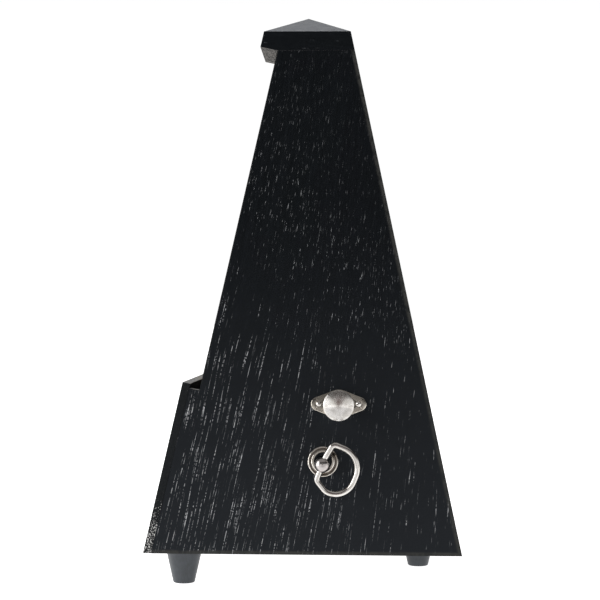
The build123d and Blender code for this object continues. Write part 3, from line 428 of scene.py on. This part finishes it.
OWN = {
    "front_panel": front_wood(),
    "back_panel": back_wood.material,
    "cap_block": cap_wood(),
    "base_board": raw_wood("base_wood", grey(0.008), grey(0.020)),
    "pull_knob": turned("turned_nickel", *NICKEL, 0.19, "pull_knob", 0.93),
    "key_rosette": turned("turned_collar", *COLLAR_NICKEL, 0.09, "key_rosette", 0.3, COLLAR_GROOVE),
    "key_ball": metal("ball_nickel", *BALL_NICKEL, 0.20, spread=0.05),
    "escutcheon": metal("plate_nickel", *WARM_NICKEL, 0.16, (0.0003, 0.004, 0.0003), bump=0.000003),
}
for node_name, node_object in NODES.items():
    material_slot = node_object.data.materials[0].name.split(".")[0]
    node_object.data.materials[0] = OWN.get(node_name, SLOTS[material_slot])


# ---- rounded edges ----
SHARP = math.radians(32)  # edges that turn more than this are rounded


def soften(node, width, segments=2):
    """Worn arrises on a CAD part, by modifiers alone."""
    target = NODES[node]
    weld = target.modifiers.new("weld", "WELD")
    weld.merge_threshold = 0.002 * MM
    bevel = target.modifiers.new("arris", "BEVEL")
    bevel.width = width
    bevel.segments = segments
    bevel.limit_method = "ANGLE"
    bevel.angle_limit = SHARP
    bevel.use_clamp_overlap = True
    normals = target.modifiers.new("normals", "WEIGHTED_NORMAL")
    normals.keep_sharp = False


for panel in ("side_panel_right", "side_panel_left"):
    soften(panel, 0.30 * MM)
for panel in ("front_panel", "back_panel", "base_board", "cap_block", "scale_board"):
    soften(panel, 0.22 * MM)
soften("escutcheon", 0.32 * MM, 3)
soften("pull_knob", 0.28 * MM, 3)


# ---- printed scale ----
TEMPI = [
    *range(40, 60, 2),
    *range(60, 72, 3),
    *range(72, 120, 4),
    *range(120, 144, 6),
    *range(144, 209, 8),
]
PLATE_THICK = 0.6 * MM
MARGIN = 6 * MM  # from the ends of the plate to the first and last tempo
INK = 0.03 * MM  # how far the print stands proud
LIFT = 0.002 * MM  # gap under the print
LINE = 0.09 * MM  # half the width of a tempo's line
RULE = 0.1 * MM  # half the width of a long line
LINE_LENGTH = 4.2 * MM
FIGURE_AT = 7.2 * MM
FIGURE_SIZE = 3.1 * MM


def scale_frame():
    """Matrix whose x runs across the scale plate, y up it, and z out of its front face."""
    low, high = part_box("scale_plate")
    start = Vector((AXIS_X, low.y, low.z + PLATE_THICK * S))
    end = Vector((AXIS_X, high.y - PLATE_THICK * C, high.z))
    up = (end - start).normalized()
    out = Vector((1, 0, 0)).cross(up)
    turn = Matrix((Vector((1, 0, 0)), up, out)).transposed().to_4x4()
    return Matrix.Translation(start) @ turn, (end - start).length, high.x - low.x


def printed_scale():
    place, length, width = scale_frame()
    marks = bmesh.new()
    step = (length - 2 * MARGIN) / (len(TEMPI) - 1)

    def bar(x0, x1, y0, y1):
        ring = [(x0, y0), (x1, y0), (x1, y1), (x0, y1)]
        low = [marks.verts.new((x, y, LIFT)) for x, y in ring]
        high = [marks.verts.new((x, y, INK)) for x, y in ring]
        marks.faces.new(list(reversed(low)))
        marks.faces.new(high)
        for i in range(4):
            j = (i + 1) % 4
            marks.faces.new((low[i], low[j], high[j], high[i]))

    for index, tempo in enumerate(TEMPI):
        y = length - MARGIN - index * step
        side = -1 if index % 2 == 0 else 1
        bar(min(0, side * LINE_LENGTH), max(0, side * LINE_LENGTH), y - LINE, y + LINE)
        figures = bpy.data.curves.new("figures", "FONT")
        figures.body = str(tempo)
        figures.size = FIGURE_SIZE
        figures.extrude = INK / 2
        figures.align_x = "CENTER"
        figures.align_y = "CENTER"
        written = add("figures", figures)
        bpy.context.view_layer.update()
        solid = written.evaluated_get(bpy.context.evaluated_depsgraph_get())
        shape = bpy.data.meshes.new_from_object(solid)
        shape.transform(Matrix.Translation((side * FIGURE_AT, y, INK / 2 + LIFT)))
        marks.from_mesh(shape)
        bpy.data.objects.remove(written)
        bpy.data.meshes.remove(shape)
    rim = width / 2 - 0.9 * MM
    for side in (-1, 1):
        bar(side * rim - RULE, side * rim + RULE, 2 * MM, length - 2 * MM)
    bar(-RULE, RULE, 2 * MM, length - 2 * MM)
    mesh = bpy.data.meshes.new("scale_print")
    marks.transform(place)
    marks.to_mesh(mesh)
    marks.free()
    m = Shader("printed_ink")
    wear = m.cloud((0.0004, 0.0004, 0.0004), 3.0)
    m.set(Base_Color=m.mix(m.ramp(wear, 0.35, 0.7), grey(0.008), grey(0.030)))
    m.set(Roughness=m.ramp(wear, 0.3, 0.7, 0.4, 0.6))
    mesh.materials.append(m.material)
    piece = add("scale_print", mesh)
    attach(piece, "case")


printed_scale()


# ---- studio ----
def round_sheet(name, wide, tall, corners):
    """Flat round mesh in its own xy plane."""
    mesh = bpy.data.meshes.new(name)
    shape = bmesh.new()
    turns = (i * math.tau / corners for i in range(corners))
    ring = [shape.verts.new((wide * math.cos(a), tall * math.sin(a), 0)) for a in turns]
    shape.faces.new(ring)
    shape.to_mesh(mesh)
    shape.free()
    return mesh


FLOOR_RADIUS = 12
SHADE_PATCH_MIDDLE = (0.38, 0.0, 0.0)  # middle of the floor's painted shade, a softly greyer, less glowing patch in front of the case


def floor():
    """White floor that glows a little, so that it meets the white room without a line."""
    mesh = round_sheet("studio_floor", FLOOR_RADIUS, FLOOR_RADIUS, 64)
    m = Shader("studio_white")
    cloud = m.cloud((0.5, 0.5, 0.5))
    # painted shade: the floor in front of the case is greyer and glows less, so the metal reflects
    # a dimmer floor there
    painted_floor_shade = m.ramp(m.length(m.vector("SUBTRACT", m.place, SHADE_PATCH_MIDDLE)), 0.30, 0.20)
    white = m.mix(cloud, grey(0.88), grey(0.92))
    m.set(Base_Color=m.mix(painted_floor_shade, white, grey(0.74, 0.99, 1.03)))
    m.set(Roughness=m.ramp(cloud, 0.0, 1.0, 0.75, 0.85))
    m.surface.inputs["Emission Color"].default_value = grey(1.0)
    m.set(Emission_Strength=m.ramp(painted_floor_shade, 0.0, 1.0, 1.05, 0.36, smooth=False))
    mesh.materials.append(m.material)
    piece = add("studio_floor", mesh)
    piece.location.z = CAD_BOX[0][2] - 0.01 * MM


def world():
    """Pale all round near the horizon, dim above it, and a little brighter overhead."""
    room = bpy.data.worlds.new("studio")
    room.use_nodes = True
    tree = room.node_tree
    tree.nodes.clear()

    def node(kind, **settings):
        made = tree.nodes.new(kind)
        for key, value in settings.items():
            setattr(made, key, value)
        return made

    def fill(target, value):
        if isinstance(value, bpy.types.NodeSocket):
            tree.links.new(value, target)
        else:
            target.default_value = value

    def band(value, low, high):
        made = node("ShaderNodeMapRange", interpolation_type="SMOOTHSTEP")
        for target, source in zip(made.inputs, (value, low, high)):
            fill(target, source)
        return made.outputs[0]

    def calc(operation, *values):
        made = node("ShaderNodeMath", operation=operation)
        for target, value in zip(made.inputs, values):
            fill(target, value)
        return made.outputs[0]

    xyz = node("ShaderNodeSeparateXYZ")
    tree.links.new(node("ShaderNodeTexCoord").outputs["Generated"], xyz.inputs[0])
    z = xyz.outputs[2]
    overhead = calc("MULTIPLY", band(z, 0.62, 0.88), 0.32)
    dim = calc("MULTIPLY", band(z, 0.17, 0.43), calc("SUBTRACT", 1.0, overhead))
    level = calc("SUBTRACT", 1.03, calc("MULTIPLY", dim, 0.98))
    tint = node("ShaderNodeMix", data_type="RGBA")
    fill(tint.inputs["Factor"], dim)
    fill(tint.inputs[MIX_FIRST], (1, 1, 1, 1))
    fill(tint.inputs[MIX_SECOND], (1.04, 1.0, 0.98, 1))
    light = node("ShaderNodeBackground")
    tree.links.new(tint.outputs[MIX_COLOUR], light.inputs["Color"])
    tree.links.new(level, light.inputs["Strength"])
    tree.links.new(light.outputs[0], node("ShaderNodeOutputWorld").inputs["Surface"])
    bpy.context.scene.world = room


def towards(place, aim):
    """Rotation that points an object's -z from place to aim."""
    return (Vector(aim) - Vector(place)).to_track_quat("-Z", "Y").to_euler()


def softbox(name, place, aim, size, power):
    lamp = bpy.data.lights.new(name, "AREA")
    lamp.shape = "RECTANGLE"
    lamp.size, lamp.size_y = size
    lamp.energy = power
    holder = add(name, lamp)
    holder.location = place
    holder.rotation_euler = towards(place, aim)
    holder.visible_camera = False


# the camera's place from the middle of the case at floor level, and its three axes
EYE = Vector((643.07, 18.74, 103.39)) * MM + Vector((AXIS_X, 0, 0))
EYE_RIGHT = Vector((-0.0339572, 0.99941528, 0.00399983))
EYE_UP = Vector((0.00913058, -0.00369174, 0.9999515))
EYE_BACK = Vector((0.99938158, 0.03399207, -0.00899988))
SENSOR_WIDTH = 36
FOCAL_LENGTH = 93.163


def camera():
    lens = bpy.data.cameras.new("camera")
    lens.sensor_width = SENSOR_WIDTH
    lens.lens = FOCAL_LENGTH
    lens.clip_start = 10 * MM
    eye = add("camera", lens)
    turn = Matrix((EYE_RIGHT, EYE_UP, EYE_BACK)).transposed().to_4x4()
    eye.matrix_world = Matrix.Translation(EYE) @ turn
    bpy.context.scene.camera = eye


def dark_card(name, at, aim, size):
    """Round studio flag, seen only as a dark place in the bright metal."""
    mesh = round_sheet(name, *size, 32)
    m = Shader(name)
    cloud = m.cloud((0.05, 0.05, 0.05))
    m.set(Base_Color=m.mix(cloud, grey(0.026, 2.8, 0.8), grey(0.044, 2.8, 0.8)))
    m.surface.inputs["Roughness"].default_value = 0.8
    mesh.materials.append(m.material)
    piece = add(name, mesh)
    piece.location = at
    piece.rotation_euler = towards(at, aim)
    piece.visible_camera = False


floor()
world()
softbox("softbox_left", (0.35, -1.1, 0.45), (0, 0, 0.1), (0.7, 0.9), 9)
softbox("softbox_over", (-0.95, 0.0, 1.35), (0, 0, 0.2), (1.0, 1.0), 5)
softbox("softbox_front", (0.1, -1.3, 1.0), (0, 0, 0.1), (1.0, 0.6), 1.5)
camera()
knob = centre("pull_knob")
dark_card("flag_lens", EYE + Vector((0.10, 0.0, 0.03)), knob, (0.12, 0.12))
dark_card("flag_right", knob + Vector((0.44, 0.38, -0.05)), knob, (0.055, 0.045))
dark_card("flag_left", knob + Vector((0.44, -0.40, -0.045)), knob, (0.030, 0.040))
bpy.context.scene.view_settings.view_transform = "Standard"
bpy.context.scene.view_settings.look = "None"
